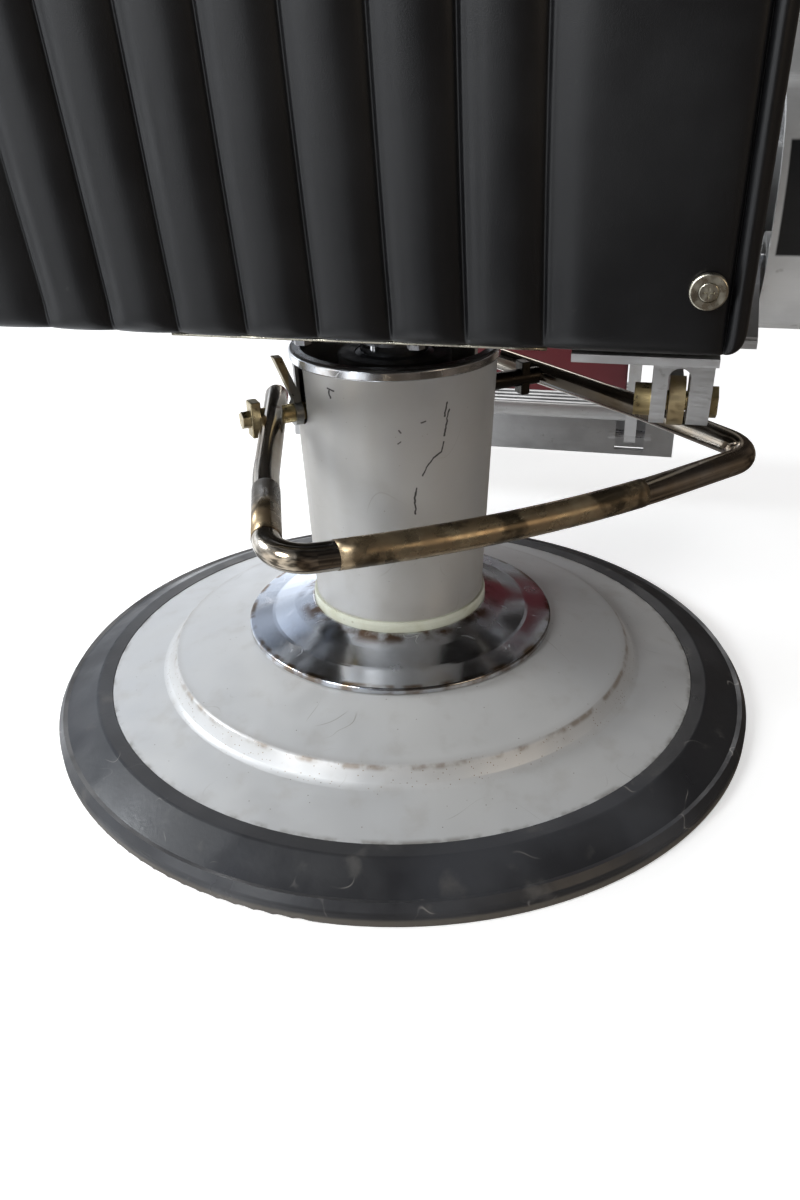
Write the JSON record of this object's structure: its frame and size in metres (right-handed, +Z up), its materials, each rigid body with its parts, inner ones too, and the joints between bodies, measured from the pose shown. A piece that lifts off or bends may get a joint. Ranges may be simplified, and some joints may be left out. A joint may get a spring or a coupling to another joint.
{
  "type": "hydraulic barber chair",
  "caption": "Swivelling barber chair on a round hydraulic pedestal, with a foot pump bar, reclining channelled back, coupled leg rest, cast arms and a headrest.",
  "frame": {"origin": "centre of the pedestal's underside, on the floor and on the column's axis", "axes": "+Z up the column, the sitter faces -Y, +X is the sitter's left"},
  "size_m": [0.68, 0.9775, 1.16],
  "materials": {
    "black_rubber": "moulded, satin, lightly scuffed",
    "silver_paint": "aged silver paint, satin",
    "iron": "as cast, painted",
    "chrome": "polished, light scratches",
    "cream_nylon": "aged cream",
    "steel": "turned",
    "bronze": "turned",
    "yellow_zinc": "yellow zinc plate",
    "seal_rubber": "moulded",
    "cast_aluminium": "polished casting",
    "plywood": "plywood",
    "black_vinyl": "grained vinyl",
    "maroon_vinyl": "maroon covered board",
    "nickel": "nickel plate, yellowed",
    "black_plastic": "moulded",
    "spring_steel": "wire"
  },
  "bodies": {
    "base": {"rubber_rim": "black_rubber", "base_cover": "silver_paint", "base_casting": "iron", "base_flange": "chrome", "bearing_collar": "cream_nylon", "column_shroud": "silver_paint", "column_trim_ring": "chrome", "hydraulic_cylinder": "steel", "cylinder_gland": "bronze", "gland_seal": "seal_rubber", "cylinder_bolts": "steel", "pump_cylinder": "iron", "plunger_spring": "spring_steel", "shaft_bracket": "iron", "shaft_bushes": "bronze"},
    "pump_bar": {"pump_bar": "chrome", "bar_end_plugs": "chrome", "pump_shafts": "yellow_zinc", "bar_clamps": "yellow_zinc", "clamp_bolts": "yellow_zinc", "pump_crank": "iron"},
    "plunger": {"pump_plunger": "steel"},
    "ram": {"ram": "chrome", "piston": "steel", "piston_seal": "seal_rubber", "bearing_race_lower": "steel", "bearing_balls": "steel"},
    "seat": {"bearing_race_upper": "steel", "swivel_hub": "iron", "seat_frame": "iron", "seat_board": "plywood", "seat_cushion": "black_vinyl", "leg_hinge_pins": "steel", "hub_bolts": "steel", "arm_frame_right": "cast_aluminium", "arm_frame_left": "cast_aluminium", "arm_pads": "black_vinyl", "back_pivot_pins": "chrome", "arm_bolts": "nickel"},
    "lever": {"recline_lever": "chrome", "lever_grip": "black_plastic"},
    "back": {"back_panel": "black_vinyl", "back_board": "plywood", "back_cushion": "black_vinyl", "headrest_sleeves": "steel", "cup_washers": "nickel", "panel_screws": "nickel", "back_brackets": "cast_aluminium", "link_pin": "yellow_zinc", "link_collar": "yellow_zinc"},
    "headrest_slider": {"headrest_posts": "chrome"},
    "headrest": {"headrest_plate": "silver_paint", "headrest_pad": "black_vinyl"},
    "link": {"link_rod": "steel"},
    "leg_rest": {"leg_frame": "silver_paint", "leg_board": "maroon_vinyl", "calf_pad": "black_vinyl", "foot_pins": "steel"},
    "foot_plate": {"foot_plate": "cast_aluminium"}
  },
  "joints": [
    {"name": "pump_bar_swing", "type": "hinge", "parent": "base", "child": "pump_bar", "pos_m": [0, 0, 0.3], "axis": [-0.788, -0.6157, 0], "range_deg": [0, 25], "stiffness_Nm_per_rad": 14, "springref_deg": -20.05},
    {"name": "plunger_stroke", "type": "slide", "parent": "base", "child": "plunger", "axis": [0, 0, -1], "range_m": [0, 0.0097], "deforming": ["plunger_spring"]},
    {"name": "seat_lift", "type": "slide", "parent": "base", "child": "ram", "axis": [0, 0, 1], "range_m": [0, 0.14]},
    {"name": "seat_swivel", "type": "hinge", "parent": "ram", "child": "seat", "pos_m": [0, 0, 0.358], "axis": [0, 0, 1], "continuous": true},
    {"name": "back_recline", "type": "hinge", "parent": "seat", "child": "back", "pos_m": [0, 0.172, 0.449], "axis": [-1, 0, 0], "range_deg": [0, 50]},
    {"name": "leg_lift", "type": "hinge", "parent": "seat", "child": "leg_rest", "pos_m": [0, -0.275, 0.42], "axis": [-1, 0, 0], "range_deg": [0, 50]},
    {"name": "link_turn", "type": "hinge", "parent": "back", "child": "link", "pos_m": [-0.2345, 0.224, 0.378], "axis": [-1, 0, 0], "range_deg": [-50, 0]},
    {"name": "foot_flip", "type": "hinge", "parent": "leg_rest", "child": "foot_plate", "pos_m": [0, -0.46259, 0.11979], "axis": [-1, 0, 0], "range_deg": [0, 45]},
    {"name": "headrest_height", "type": "slide", "parent": "back", "child": "headrest_slider", "axis": [0, 0.1564, 0.9877], "range_m": [0, 0.08]},
    {"name": "headrest_tilt", "type": "hinge", "parent": "headrest_slider", "child": "headrest", "pos_m": [0, 0.35315, 1.05923], "axis": [-1, 0, 0], "range_deg": [-15, 35]},
    {"name": "lever_turn", "type": "hinge", "parent": "seat", "child": "lever", "pos_m": [0.3205, 0.172, 0.449], "axis": [-1, 0, 0], "range_deg": [0, 30]}
  ],
  "couplings": [
    {"joint": "plunger_stroke", "follows": "pump_bar_swing", "m_per_rad": 0.022},
    {"joint": "leg_lift", "follows": "back_recline", "ratio": 1},
    {"joint": "link_turn", "follows": "back_recline", "ratio": -1}
  ]
}
